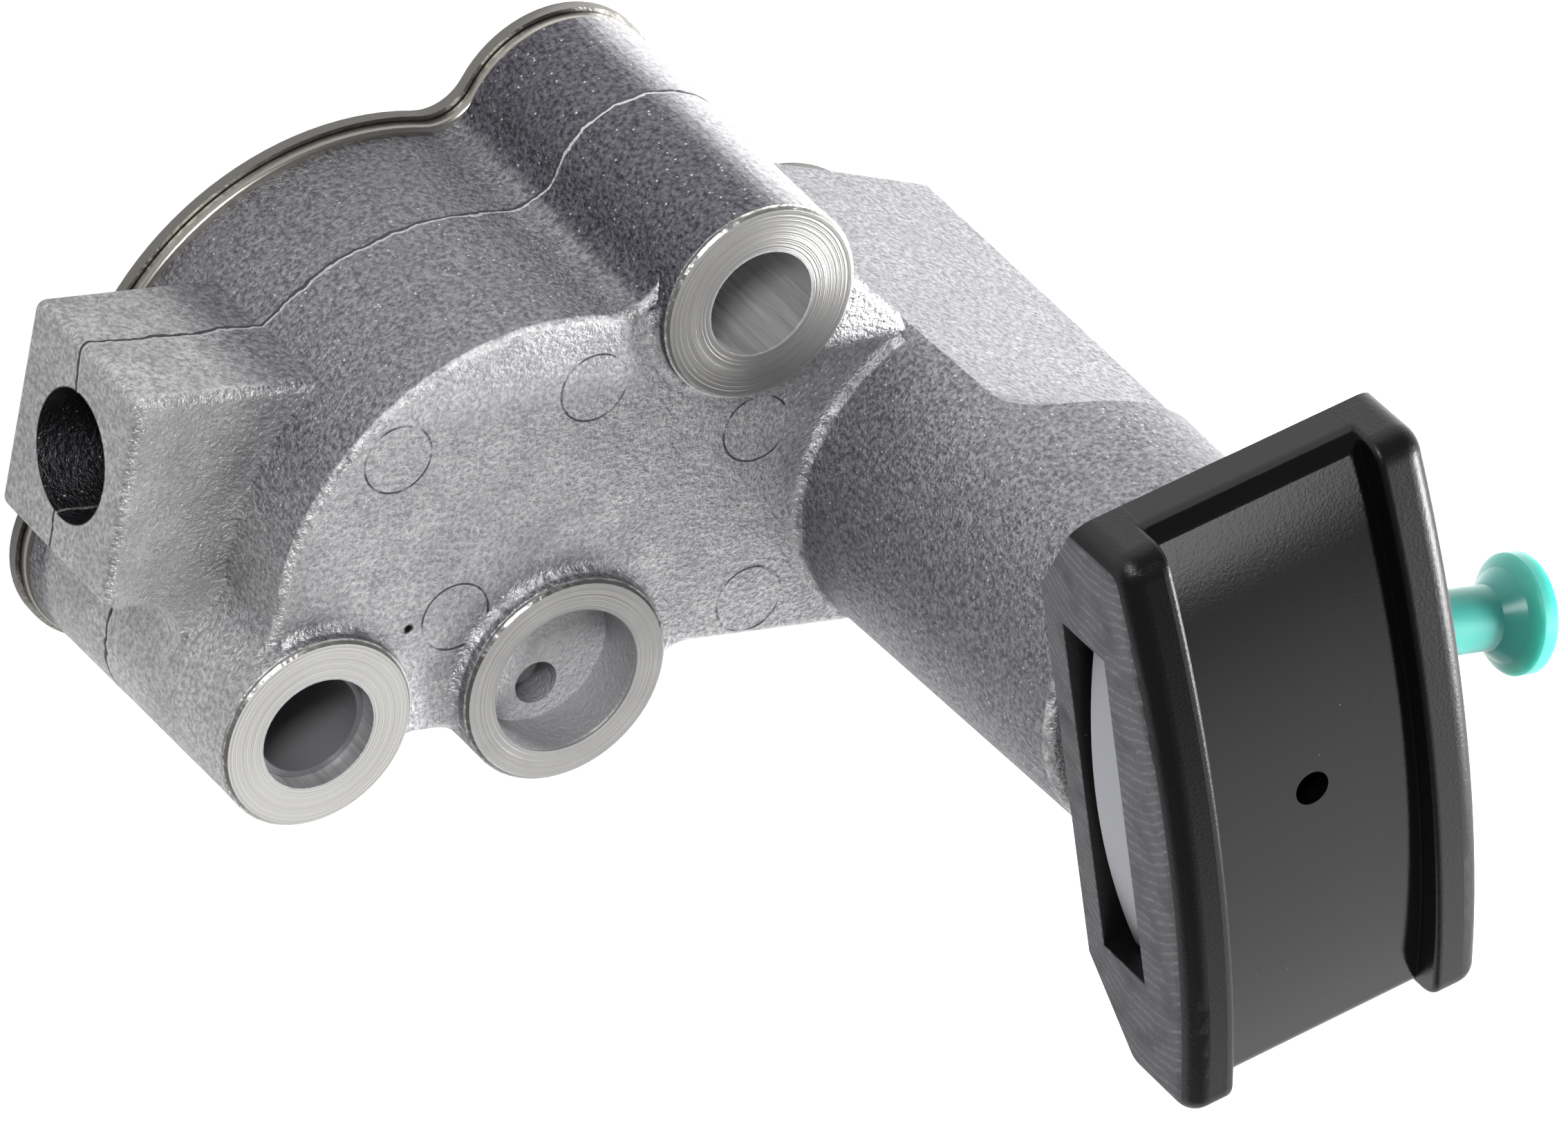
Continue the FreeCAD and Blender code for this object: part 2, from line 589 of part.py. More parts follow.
def shoe():
    """Plastic shoe: crowned block, channel for the chain guide, side window and blind bore."""
    left, crest, right = crown_profile(SHOE_HALF_LENGTH, SHOE_CROWN, SHOE_CROWN_R)
    corner = SHOE_REAR + SHOE_CHAMFER_HEIGHT
    sides = Part.makePolygon([right, V(0, -SHOE_HALF_LENGTH, corner),
                              V(0, -SHOE_REAR_HALF_LENGTH, SHOE_REAR),
                              V(0, SHOE_REAR_HALF_LENGTH, SHOE_REAR),
                              V(0, SHOE_HALF_LENGTH, corner), left])
    face = Part.Face(Part.Wire([Part.Arc(left, crest, right).toShape()] + sides.Edges))
    face.translate(V(-SHOE_HALF_WIDTH, 0, 0))
    block = face.extrude(V(2 * SHOE_HALF_WIDTH, 0, 0))

    past_end = SHOE_HALF_LENGTH + OVERCUT
    near, floor_mid, far = crown_profile(past_end, CHANNEL_FLOOR, CHANNEL_FLOOR_R)
    lid = SHOE_CROWN + OVERCUT
    rim = Part.makePolygon([far, V(0, -past_end, lid), V(0, past_end, lid), near])
    channel = Part.Face(Part.Wire([Part.Arc(near, floor_mid, far).toShape()] + rim.Edges))
    channel.translate(V(-CHANNEL_HALF_WIDTH, 0, 0))
    block = block.cut(channel.extrude(V(2 * CHANNEL_HALF_WIDTH, 0, 0)))

    def flange_end(edge):
        box = edge.BoundBox
        return box.ZMin > left.z - 0.05 and box.ZLength < 0.01 and box.YLength < 0.01

    def outer_rim(edge):
        box = edge.BoundBox
        return min(abs(box.XMin), abs(box.XMax)) > SHOE_HALF_WIDTH - 0.01 and box.ZMin > corner + 0.01

    def inner_rim(edge):
        box = edge.BoundBox
        return (box.XLength < 0.01 and abs(box.XMin) < CHANNEL_HALF_WIDTH + 0.01
                and box.YLength > SHOE_HALF_LENGTH and box.ZMax > SHOE_CROWN - 0.01)

    def floor_end(edge):
        box = edge.BoundBox
        at_end = min(abs(box.YMin), abs(box.YMax)) > SHOE_HALF_LENGTH - 0.01
        level = box.ZLength < 0.01 and box.ZMin > corner + 0.01
        return at_end and level and abs(box.XMin + CHANNEL_HALF_WIDTH) < 0.01

    block = rounded(block, floor_end, CHANNEL_END_ROUND)
    block = rounded(block, flange_end, FLANGE_END_ROUND)
    block = rounded(block, outer_rim, FLANGE_OUTER_ROUND)
    block = rounded(block, inner_rim, FLANGE_INNER_ROUND)
    window = Part.makeBox(SHOE_HALF_WIDTH + WINDOW_REACH + OVERCUT, 2 * WINDOW_HALF_LENGTH, WINDOW_HEIGHT,
                          V(-SHOE_HALF_WIDTH - OVERCUT, -WINDOW_HALF_LENGTH, WINDOW_FLOOR))
    bore = cylinder(0, 0, PLUNGER_R + SHOE_BORE_CLEAR, SHOE_REAR - OVERCUT,
                    PLUNGER_FRONT + SHOE_BORE_END_GAP)
    vent = cylinder(0, 0, SHOE_VENT_R, PLUNGER_FRONT, SHOE_CROWN + OVERCUT)
    block = block.cut([window, bore, vent])
    block.rotate(V(0, 0, 0), V(0, 0, 1), SHOE_TURN)
    return block


def shoe_clip():
    """Thick U-shaped plate pushed in through the window, round the plunger's neck."""
    high = WINDOW_FLOOR + WINDOW_HEIGHT - CLIP_TOP_CLEAR
    low = high - CLIP_THICKNESS
    half = WINDOW_HALF_LENGTH - CLIP_END_CLEAR
    side = -SHOE_HALF_WIDTH + CLIP_INSET
    sag = CLIP_SIDE_R - math.sqrt(CLIP_SIDE_R ** 2 - half ** 2)
    reach = WINDOW_REACH - CLIP_END_CLEAR
    edge_low, edge_high = V(side + sag, -half, low), V(side + sag, half, low)
    edges = [Part.Arc(edge_low, V(side, 0, low), edge_high).toShape()]
    edges += Part.makePolygon([edge_high, V(reach, half, low), V(reach, -half, low), edge_low]).Edges
    plate = Part.Face(Part.Wire(edges)).extrude(V(0, 0, CLIP_THICKNESS))
    slot_r = NECK_R + CLIP_NECK_CLEAR
    slot = Part.makeBox(reach + OVERCUT, 2 * slot_r, CLIP_THICKNESS + 2 * OVERCUT,
                        V(0, -slot_r, low - OVERCUT))
    plate = plate.cut([slot, cylinder(0, 0, slot_r, low - OVERCUT, high + OVERCUT)])
    plate.rotate(V(0, 0, 0), V(0, 0, 1), SHOE_TURN)
    return plate


def check_ball():
    return Part.makeSphere(BALL_R, V(0, 0, ball_height()))


os.makedirs("parts", exist_ok=True)
PARTS = {
    "housing": housing(),
    "gasket_front_layer": gasket_layer(GASKET_STEP, GASKET_LAYER + GASKET_GAP, GASKET_BEAD),
    "gasket_rear_layer": gasket_layer(0.0, 0.0),
    "gasket_rivets": gasket_rivets(),
    "locating_sleeve": locating_sleeve(),
    "valve_seat": valve_seat(),
    "check_ball": check_ball(),
    "ball_cage": ball_cage(),
    "ball_spring": ball_spring(),
    "plunger_spring": plunger_spring(),
    "volume_reducer": volume_reducer(),
    "vent_disc": vent_disc(),
    "plunger": plunger(),
    "retaining_ring": retaining_ring(),
    "shoe": shoe(),
    "shoe_clip": shoe_clip(),
    "transport_pin": transport_pin(),
}
for name, shape in PARTS.items():
    whole = shape.Solids[0] if len(shape.Solids) == 1 else shape
    print(name, whole.ShapeType, len(whole.Solids), whole.isValid(), round(whole.Volume, 2))
    whole.exportStep(os.path.join("parts", name + ".step"))
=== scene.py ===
import bmesh
import bpy
import math
from mathutils import Euler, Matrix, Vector


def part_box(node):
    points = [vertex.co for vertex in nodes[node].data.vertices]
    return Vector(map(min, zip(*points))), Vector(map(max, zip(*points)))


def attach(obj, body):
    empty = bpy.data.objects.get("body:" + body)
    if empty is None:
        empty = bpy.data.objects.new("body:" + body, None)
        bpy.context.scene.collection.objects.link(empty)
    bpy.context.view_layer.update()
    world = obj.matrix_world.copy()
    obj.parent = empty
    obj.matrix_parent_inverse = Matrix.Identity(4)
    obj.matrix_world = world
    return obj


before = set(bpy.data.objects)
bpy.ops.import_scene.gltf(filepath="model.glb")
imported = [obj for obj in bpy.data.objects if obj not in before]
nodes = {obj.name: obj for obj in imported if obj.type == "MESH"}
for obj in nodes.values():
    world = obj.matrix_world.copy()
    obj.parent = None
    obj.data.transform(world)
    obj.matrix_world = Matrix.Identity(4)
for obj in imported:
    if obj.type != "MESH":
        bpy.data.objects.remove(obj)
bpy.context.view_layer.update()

# Studio for a timing chain tensioner: a pale floor under the gasket, and a dim white room with a wide
# soft window to the right and in front. Two low washes light the tube's side and the casting's back,
# and a box lights what faces up.
scene = bpy.context.scene
scene.view_settings.view_transform = "Standard"
WINDOW_HEADING = (0.60, -0.64, 0.48)
# Cosines of the angle off that heading at which the window's light begins and is full.
WINDOW_EDGE = (0.70, 0.98)
ROOM_LEVEL = 0.17
WINDOW_LEVEL = 1.45
FLOOR_SIZE = 6.0
FLOOR_TONE = "B4B4B4"
FLOOR_GLOW = 0.88
# Gloss and metal see the floor's glow with a painted shadow: dim close to the part, and white further
# off than the second distance.
DIM_SPOT = (-0.07, -0.05, 0.0)
DIM_REACH = (0.05, 0.26)
DIM_LEVEL = 0.30
# Each lamp: where it stands, what it points at, its width in metres, its watts and its spread.
LAMPS = {
    "right_wash": ((0.16, 0.0, 0.12), (0.05, 0.0, 0.0), 0.06, 0.22, 75),
    "back_wash": ((-0.20, 0.20, 0.20), (-0.06, 0.05, 0.0), 0.08, 0.12, 75),
    "top_box": ((0.202, -0.011, 0.581), (0.0, 0.0, 0.06), 0.10, 0.13, 180),
}


def linear(hex_colour):
    """Turns an sRGB hex colour such as 8F9094 into the linear values that shaders take."""
    parts = [int(hex_colour[i:i + 2], 16) / 255 for i in (0, 2, 4)]
    return [p / 12.92 if p < 0.04045 else ((p + 0.055) / 1.055) ** 2.4 for p in parts] + [1.0]


def add(tree, kind, sockets=None, **settings):
    """Adds a node and gives its outputs; each socket takes a value or another node's output."""
    made = tree.nodes.new("ShaderNode" + kind)
    for setting, value in settings.items():
        setattr(made, setting, value)
    for socket, value in (sockets or {}).items():
        if isinstance(value, bpy.types.NodeSocket):
            tree.links.new(value, made.inputs[socket])
        else:
            made.inputs[socket].default_value = value
    return made.outputs


world = bpy.data.worlds.new("studio_light")
scene.world = world
world.use_nodes = True
air = world.node_tree
air.nodes.clear()
heading = add(air, "TexCoord")["Generated"]
towards = add(air, "VectorMath", {0: heading, 1: WINDOW_HEADING}, operation="DOT_PRODUCT")["Value"]
begins, full = WINDOW_EDGE
strength = add(air, "MapRange", {0: towards, 1: begins, 2: full, 3: ROOM_LEVEL, 4: WINDOW_LEVEL},
               interpolation_type="SMOOTHSTEP")[0]
to_camera = add(air, "LightPath")["Is Camera Ray"]
shown = add(air, "Mix", {"Factor": to_camera, "A": strength, "B": 1.0}, data_type="FLOAT")[0]
glow = add(air, "Background", {"Color": linear("FFFFFF"), "Strength": shown})[0]
add(air, "OutputWorld", {"Surface": glow})

bpy.ops.mesh.primitive_plane_add(size=FLOOR_SIZE)
floor = bpy.context.object
floor.name = "floor"
paper = bpy.data.materials.new("white_paper")
paper.use_nodes = True
tree = paper.node_tree
tree.nodes.clear()
matt = add(tree, "BsdfDiffuse", {"Color": linear(FLOOR_TONE)})[0]
rays = add(tree, "LightPath")
spot = add(tree, "TexCoord")["Object"]
# The glow that gloss and metal see is a painted shadow round the part, fading to white.
off = add(tree, "VectorMath", {0: spot, 1: DIM_SPOT}, operation="DISTANCE")["Value"]
near, far = DIM_REACH
white = add(tree, "MapRange", {0: off, 1: near, 2: far, 3: DIM_LEVEL, 4: 1.0})[0]
mirrored = add(tree, "Math", {0: rays["Is Glossy Ray"], 1: white}, operation="MULTIPLY")[0]
seen = add(tree, "Math", {0: rays["Is Camera Ray"], 1: FLOOR_GLOW, 2: mirrored}, operation="MULTIPLY_ADD")[0]
glow = add(tree, "Emission", {"Color": linear("FFFFFF"), "Strength": seen})[0]
both = add(tree, "AddShader", {0: matt, 1: glow})[0]
add(tree, "OutputMaterial", {"Surface": both})
floor.data.materials.append(paper)

for name, (place, aim, width, watts, spread) in LAMPS.items():
    lamp = bpy.data.lights.new(name, "AREA")
    lamp.energy = watts
    lamp.size = width
    lamp.spread = math.radians(spread)
    holder = bpy.data.objects.new(name, lamp)
    holder.location = place
    holder.rotation_euler = (Vector(aim) - Vector(place)).to_track_quat("-Z", "Y").to_euler()
    holder.visible_camera = False
    scene.collection.objects.link(holder)

# Camera: a long lens above the left of the part, rolled as in the photograph, so that the plunger
# points down to the right of the frame. Its place is in metres and its turn in degrees.
CAMERA_PLACE = (-0.359926, 0.299025, 0.488552)
CAMERA_TURN = (-34.4734, -30.7424, 12.1852)
LENS_MM = 253.97
SENSOR_MM = 36.0
lens = bpy.data.cameras.new("camera")
lens.lens = LENS_MM
lens.sensor_width = SENSOR_MM
camera = bpy.data.objects.new("camera", lens)
camera.location = CAMERA_PLACE
camera.rotation_euler = Euler([math.radians(a) for a in CAMERA_TURN], "XYZ")
scene.collection.objects.link(camera)
scene.camera = camera

# Housing: aluminium-silicon alloy, die cast and shot blasted, which leaves a satin grain with small
# bright flecks. Its walls keep the plain skin; faces that point up are painted lighter, and the top
# boss's wall darker, as painted light and painted shade. The boss faces and bolt holes are machined
# afterwards, so they carry round tool marks. Sizes are in millimetres in the part's frame.
MM = 0.001
TOP_BOSS = (-17.8, 13.6, 0.0)
LOW_BOSS = (-42.8, -12.1, 0.0)
BLIND_BOSS = (-26.2, -10.7, 0.0)
TUBE = (0.0, 0.0, 0.0)
TOP_BORE_R = 3.4
LOW_BORE_R = 3.65
RECESS_R = 4.8
PORT_AXIS = (0.0, 0.4, 11.6)
PORT_R = 4.0
EJECTOR_MARKS = ((-27.4, 8.4, 0), (-40.0, 5.1, 0), (-15.4, 4.3, 0), (-34.0, -6.1, 0), (-13.4, -7.5, 0))
EJECTOR_R = 2.2
EJECTOR_LINE = 0.07
GAS_PIT = (-37.1, -6.5, 0.0)
GAS_PIT_EDGE = (0.35, 0.20)
PARTING_HEIGHT = 11.0
PARTING_WANDER = 1.6
PARTING_LINE = 0.10
PARTING_SHADE = 0.12
PARTING_DROP = 0.2
# The ways that two walls face, the far side of the top boss and the clearance flat on the tube, each
# with the cosines off it at which the wall's lighter tone, which is painted light, begins and is full.
FAR_SIDE = (0.55, 0.83, 0.0)
FAR_SIDE_TURN = (0.70, 0.97)
FAR_SIDE_FADE = (0.70, 0.90)
TUBE_FLAT_SIDE = (0.225, 0.974, 0.0)
TUBE_FLAT_TURN = (0.990, 0.998)
# Edges of places on the casting: where each begins, and where it is fully reached.
BOSS_FACE_HEIGHT = (24.65, 24.85)
BOSS_FACE_EDGE = (8.0, 7.0)
BLIND_FACE_EDGE = (7.5, 7.0)
TOP_BOSS_EDGE = (7.6, 7.0)
TOP_BOSS_SIDE = (8.0, 7.6)
CLEAR_OF_TUBE = (12.0, 13.5)
PARTING_START = (12.0, 12.9)
PORT_BOSS_START = (-44.5, -48.0)
PORT_BOSS_FOOT = (3.0, 4.0)
PORT_HOLE_START = (-44.0, -46.0)
TUBE_FLAT_END = (32.1, 31.1)
TUBE_FLAT_REACH = (15.5, 15.0)
WEB_REACH = (11.5, 10.5)
WEB_START = (-15.0, -14.0)
RIM_HEIGHT = (23.1, 23.2)
# How far past its radius a bore's skin begins, and where it is full.
BORE_SKIN = (0.15, 0.05)
PORT_SKIN = (0.10, 0.03)
# How far a face points up, which is 1 on a flat one and 0 on a wall. A blend lies between two ramps.
WALL_SLANT = (0.45, 0.10)
FLAT_SLANT = (0.60, 0.90)
MARKED_SLANT = (0.90, 0.97)
RIM_BLEND = ((0.15, 0.40), (0.98, 0.85))
WEB_BLEND = ((0.20, 0.40), (0.97, 0.90))
# Tones of the skin in the hollows and on the tops of its grain. The wall tone is the plain skin; the
# lighter tones of flat faces, of the port boss and its front and of the tube's flat are painted light,
# and the darkest tone is painted shade on the top boss's wall.
SKINS = {"wall": ("6B6A6F", "B2B1B5"), "flat": ("C4C3C7", "FAFAFB"), "painted_shade": ("413F46", "7F7D85"),
         "port": ("B2B1B2", "F0EFF0"), "lit_port_front": ("E4E3E2", "FDFDFC"), "lit_tube_flat": ("8A898D", "CBCACD")}
CAST_ROUGH = 0.47
FACED_ROUGH = 0.36
BORED_ROUGH = 0.30
RECESS_METAL = 0.25
BORED_METAL = 0.40
CAST_RELIEF = 0.25


def finish(name, base, metal, rough):
    """Starts a material; gives it, its tree and its main shader's sockets."""
    made = bpy.data.materials.new(name)
    made.use_nodes = True
    tree = made.node_tree
    shader = tree.nodes["Principled BSDF"].inputs
    shader["Base Color"].default_value = linear(base)
    shader["Metallic"].default_value = metal
    shader["Roughness"].default_value = rough
    return made, tree, shader


def millimetres(tree):
    """The place on the piece in millimetres."""
    metres = add(tree, "TexCoord")["Object"]
    return add(tree, "VectorMath", {0: metres, 1: (1000, 1000, 1000)}, operation="MULTIPLY")[0]


def dress(made, *names):
    """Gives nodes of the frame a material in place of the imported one."""
    for name in names:
        slots = nodes[name].data.materials
        slots.clear()
        slots.append(made)


def from_axis(*axes):
    """Distance in plan from the nearest of some axes parallel to Z."""
    least = None
    for axis in axes:
        reach = add(tree, "VectorMath", {0: plan, 1: axis}, operation="DISTANCE")["Value"]
        least = reach if least is None else add(tree, "Math", {0: least, 1: reach}, operation="MINIMUM")[0]
    return least


def where(*parts):
    """A mask in the material at hand: the product of masks and of ramps (value, where 0, where 1)."""
    whole = None
    for part in parts:
        if isinstance(part, tuple):
            value, low, high = part
            part = add(tree, "MapRange", {0: value, 1: low, 2: high})[0]
        whole = part if whole is None else add(tree, "Math", {0: whole, 1: part}, operation="MULTIPLY")[0]
    return whole


def inside(distance, radius, skin=BORE_SKIN):
    """The ramp of a bore's skin, by the distance from its axis."""
    begins, full = skin
    return distance, radius + begins, radius + full


cast, tree, shader = finish("blasted_cast_aluminium", "9B9A9E", 1.0, CAST_ROUGH)
mm = millimetres(tree)
xyz = add(tree, "SeparateXYZ", {0: mm})
plan = add(tree, "CombineXYZ", {0: xyz[0], 1: xyz[1]})[0]
facing = add(tree, "NewGeometry")["True Normal"]
upward = add(tree, "SeparateXYZ", {0: facing})[2]
boss_d = from_axis(TOP_BOSS, LOW_BOSS, BLIND_BOSS)
tube_d = from_axis(TUBE)
top_d = from_axis(TOP_BOSS)
boss_face = where((xyz[2], *BOSS_FACE_HEIGHT), (boss_d, *BOSS_FACE_EDGE))
top_bore = where(inside(top_d, TOP_BORE_R))
low_bore = where(inside(from_axis(LOW_BOSS), LOW_BORE_R))
recess = where(inside(from_axis(BLIND_BOSS), RECESS_R))
blind_face = where((from_axis(BLIND_BOSS), *BLIND_FACE_EDGE), boss_face)
bores = add(tree, "Math", {0: top_bore, 1: low_bore}, operation="MAXIMUM")[0]
machined = add(tree, "Math", {0: boss_face, 1: bores}, operation="MAXIMUM")[0]
# The walls keep the plain skin; faces that point up get a lighter tone, which is painted light.
wall = where((upward, *WALL_SLANT))
flat = where((upward, *FLAT_SLANT))
# Painted shade: the top boss's wall, clear of the tube, gets the darkest tone.
round_top = where((top_d, *TOP_BOSS_EDGE), (tube_d, *CLEAR_OF_TUBE), wall)
# Painted light: the port boss gets a lighter tone, and its faces that point up a lighter one still.
port_boss = where((xyz[0], *PORT_BOSS_START), (xyz[2], *PORT_BOSS_FOOT))
lit_port_front = where(port_boss, flat)
# Painted shade: the wall of the port hole gets a deep grey tone.
side = add(tree, "CombineXYZ", {1: xyz[1], 2: xyz[2]})[0]
port_d = add(tree, "VectorMath", {0: side, 1: PORT_AXIS}, operation="DISTANCE")["Value"]
port_hole = where(inside(port_d, PORT_R, PORT_SKIN), (xyz[0], *PORT_HOLE_START))
# Painted highlight: the far side of the top boss's wall takes the lighter tone of flat faces.
outer = add(tree, "VectorMath", {0: facing, 1: FAR_SIDE}, operation="DOT_PRODUCT")["Value"]
lit_far_side = where((outer, *FAR_SIDE_TURN), (outer, *FAR_SIDE_FADE), (top_d, *TOP_BOSS_SIDE), wall)
# Painted light: the tube's clearance flat gets a lighter tone than the other walls.
outer = add(tree, "VectorMath", {0: facing, 1: TUBE_FLAT_SIDE}, operation="DOT_PRODUCT")["Value"]
lit_tube_flat = where((outer, *TUBE_FLAT_TURN), (xyz[2], *TUBE_FLAT_END), (tube_d, *TUBE_FLAT_REACH))
web = where((top_d, *WEB_REACH), (xyz[0], *WEB_START))
rim_blend = [(upward, *ramp) for ramp in RIM_BLEND]
# Painted shade: the web's sloping blends get a mid-grey tone over the lighter ones.
web_blend = [(upward, *ramp) for ramp in WEB_BLEND]
# Painted highlight: the blends along the flat faces' outline, clear of the web, get a near-white tone; the
# same mask also raises lumps in the relief.
rim_highlight = where((web, 1.0, 0.0), *rim_blend, (xyz[2], *RIM_HEIGHT))

# Blast grain of 0.3 mm on lumps of 1 mm, cloudiness over some millimetres, and flecks of 0.15 mm.
grain = add(tree, "TexNoise", {"Vector": mm, "Scale": 3.2, "Detail": 3.0, "Roughness": 0.65})[0]
lumps = add(tree, "TexNoise", {"Vector": mm, "Scale": 1.0, "Detail": 2.0, "Roughness": 0.6})[0]
cloud = add(tree, "TexNoise", {"Vector": mm, "Scale": 0.30, "Detail": 4.0, "Roughness": 0.6})[0]
cells = add(tree, "TexVoronoi", {"Vector": mm, "Scale": 2.2})
fleck = where((cells["Distance"], 0.20, 0.08), (cells["Color"], 0.55, 0.75))
rough_grain = where((grain, 0.36, 0.64))
skins = {name: add(tree, "Mix", {"Factor": rough_grain, "A": linear(low), "B": linear(high)},
                   data_type="RGBA")["Result"] for name, (low, high) in SKINS.items()}

# The flat face shows the rings of the ejector pins and a gas pit, whose near-black tone is painted
# shade; the walls show the parting line, with a painted highlight along it and a painted shadow below.
pin_d = from_axis(*EJECTOR_MARKS)
ring_edge = add(tree, "Math", {0: pin_d, 1: EJECTOR_R, 2: EJECTOR_LINE}, operation="COMPARE")[0]
ejector_ring = where((upward, *MARKED_SLANT), (cloud, 0.38, 0.52), ring_edge)
# The gas pit's near-black tone is painted shade; its dent is a bump in the relief.
pit = where((from_axis(GAS_PIT), *GAS_PIT_EDGE), flat)
seam_height = add(tree, "Math", {0: cloud, 1: PARTING_WANDER, 2: xyz[2]}, operation="MULTIPLY_ADD")[0]
middle = PARTING_HEIGHT + PARTING_WANDER / 2
below = middle - PARTING_DROP
# Painted highlight: a light line along the parting line; painted shadow: a darker band just below it.
seam_highlight = add(tree, "Math", {0: seam_height, 1: middle, 2: PARTING_LINE}, operation="COMPARE")[0]
seam_shadow = add(tree, "Math", {0: seam_height, 1: below, 2: PARTING_SHADE}, operation="COMPARE")[0]
cast_wall = where((tube_d, *PARTING_START), wall)
seam_highlight = where(cast_wall, seam_highlight)
seam_shadow = where(cast_wall, seam_shadow)

# Turned marks on the bored and faced places: rings about each boss, and streaks down the bores.
turned = add(tree, "TexNoise", {"W": boss_d, "Scale": 4.5, "Detail": 3.0, "Roughness": 0.8},
             noise_dimensions="1D")[0]
drawn_out = add(tree, "VectorMath", {0: mm, 1: (2.5, 2.5, 0.10)}, operation="MULTIPLY")[0]
streak = add(tree, "TexNoise", {"Vector": drawn_out, "Scale": 1.0, "Detail": 3.0, "Roughness": 0.7})[0]
faced = add(tree, "Mix", {"Factor": where((turned, 0.30, 0.70)), "A": linear("B6B5B2"),
                          "B": linear("CDCCC9")}, data_type="RGBA")["Result"]
bored = add(tree, "Mix", {"Factor": where((streak, 0.35, 0.65)), "A": linear("B4B4B6"),
                          "B": linear("D6D6D7")}, data_type="RGBA")["Result"]

# Tones laid over the skin of the walls, each on those before it, and then the heights of the relief.
# Among them is painted light: the lighter tones of upward faces, the port boss, the tube's flat, the
# top boss's far side, the rims, the parting line and the recess. There is painted shade too: the top
# boss's wall, the port hole, the web's slopes, the gas pit and the band below the parting line.
skin = skins["wall"]
for share, tone in (
        (flat, skins["flat"]),
        (lit_tube_flat, skins["lit_tube_flat"]),
        (port_boss, skins["port"]),
        (lit_port_front, skins["lit_port_front"]),
        (port_hole, linear("39383C")),
        (where((cloud, 0.35, 1.30)), linear("96959A")),
        (round_top, skins["painted_shade"]),
        (lit_far_side, skins["flat"]),
        (where(rim_highlight, (lumps, 0.30, 0.60)), linear("EDECEE")),
        (fleck, linear("F2F2F2")),
        (where(web, *web_blend), linear("9C9B9E")),
        (ejector_ring, linear("6E6D71")),
        (pit, linear("141416")),
        (seam_highlight, linear("DAD9DB")),
        (seam_shadow, linear("5A595D")),
        # Painted light: the floor and wall of the recess in the blind boss get lighter tones.
        (where(recess, (grain, -0.5, 1.0)), linear("F4F4F5")),
        (where(recess, wall), linear("ADADB0")),
        (boss_face, faced),
        (bores, bored),
        (where(blind_face, (cloud, -1.0, 1.2)), linear("8E8D8D"))):
    skin = add(tree, "Mix", {"Factor": share, "A": skin, "B": tone}, data_type="RGBA")["Result"]
tree.links.new(skin, shader["Base Color"])
metal = add(tree, "MapRange", {0: recess, 3: 1.0, 4: RECESS_METAL})[0]
metal = add(tree, "MapRange", {0: bores, 3: metal, 4: BORED_METAL})[0]
tree.links.new(metal, shader["Metallic"])
satin = add(tree, "MapRange", {0: boss_face, 3: CAST_ROUGH, 4: FACED_ROUGH})[0]
satin = add(tree, "MapRange", {0: bores, 3: satin, 4: BORED_ROUGH})[0]
tree.links.new(satin, shader["Roughness"])
blasted = where((machined, 1.0, 0.0))
relief = where(grain, blasted)
for mark, height in (
        (where(lumps, blasted), 0.5),
        (where(turned, boss_face), 0.14),
        (ejector_ring, -0.6),
        (seam_highlight, 0.7),
        (pit, -1.5),
        (where(rim_highlight, lumps), 0.8)):
    relief = add(tree, "Math", {0: mark, 1: height, 2: relief}, operation="MULTIPLY_ADD")[0]
bumps = add(tree, "Bump", {"Height": relief, "Strength": 0.9, "Distance": CAST_RELIEF * MM})[0]
tree.links.new(bumps, shader["Normal"])
dress(cast, "housing")

# Wall feet: the casting's low wall goes on down to the gasket in the hollows beside the blind boss. The
# CAD's rear pocket breaks through it there, so short lengths of the same cast wall close the gaps.
FOOT_TALL = 3.6
FOOT_THICK = 1.2
FOOT_INSET = 0.03
HOLLOW_R = 3.0
BLIND_BOSS_R = 6.8
# Each hollow: the axis it is rounded about, and how far the wall goes round it in degrees.
HOLLOWS = ((-33.79, -16.9, -52), (-34.89, -16.9, 50), (-16.7, -13.1, 77))
# The straight wall between the first two hollows: its middle and its length, which laps both.
WEB_MIDDLE = -34.34
WEB_LONG = 1.2
shape = bmesh.new()
for x, y, turn in HOLLOWS:
    near, far = y + HOLLOW_R + FOOT_INSET, y + HOLLOW_R + FOOT_THICK
    outline = ((near, 0.0), (far, 0.0), (far, FOOT_TALL), (near, FOOT_TALL))
    start = shape.faces.new([shape.verts.new((x, across, up)) for across, up in outline])
    bmesh.ops.spin(shape, geom=[*start.verts, *start.edges, start], cent=(x, y, 0), axis=(0, 0, 1),
                   angle=math.radians(turn), steps=12)
web_foot = bmesh.ops.create_cube(shape, size=1.0)["verts"]
bmesh.ops.scale(shape, vec=(WEB_LONG, FOOT_THICK - FOOT_INSET, FOOT_TALL), verts=web_foot)
web_line = HOLLOWS[0][1] + HOLLOW_R + (FOOT_THICK + FOOT_INSET) / 2
bmesh.ops.translate(shape, vec=(WEB_MIDDLE, web_line, FOOT_TALL / 2), verts=web_foot)
boss_foot = bmesh.ops.create_cone(shape, cap_ends=True, segments=96, radius1=BLIND_BOSS_R - FOOT_INSET,
                                  radius2=BLIND_BOSS_R - FOOT_INSET, depth=FOOT_TALL)["verts"]
bmesh.ops.translate(shape, vec=(BLIND_BOSS[0], BLIND_BOSS[1], FOOT_TALL / 2), verts=boss_foot)
bmesh.ops.scale(shape, vec=(MM, MM, MM), verts=shape.verts)
bmesh.ops.translate(shape, vec=(0, 0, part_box("housing")[0][2]), verts=shape.verts)
bmesh.ops.recalc_face_normals(shape, faces=shape.faces)
mesh = bpy.data.meshes.new("wall_feet")
shape.to_mesh(mesh)
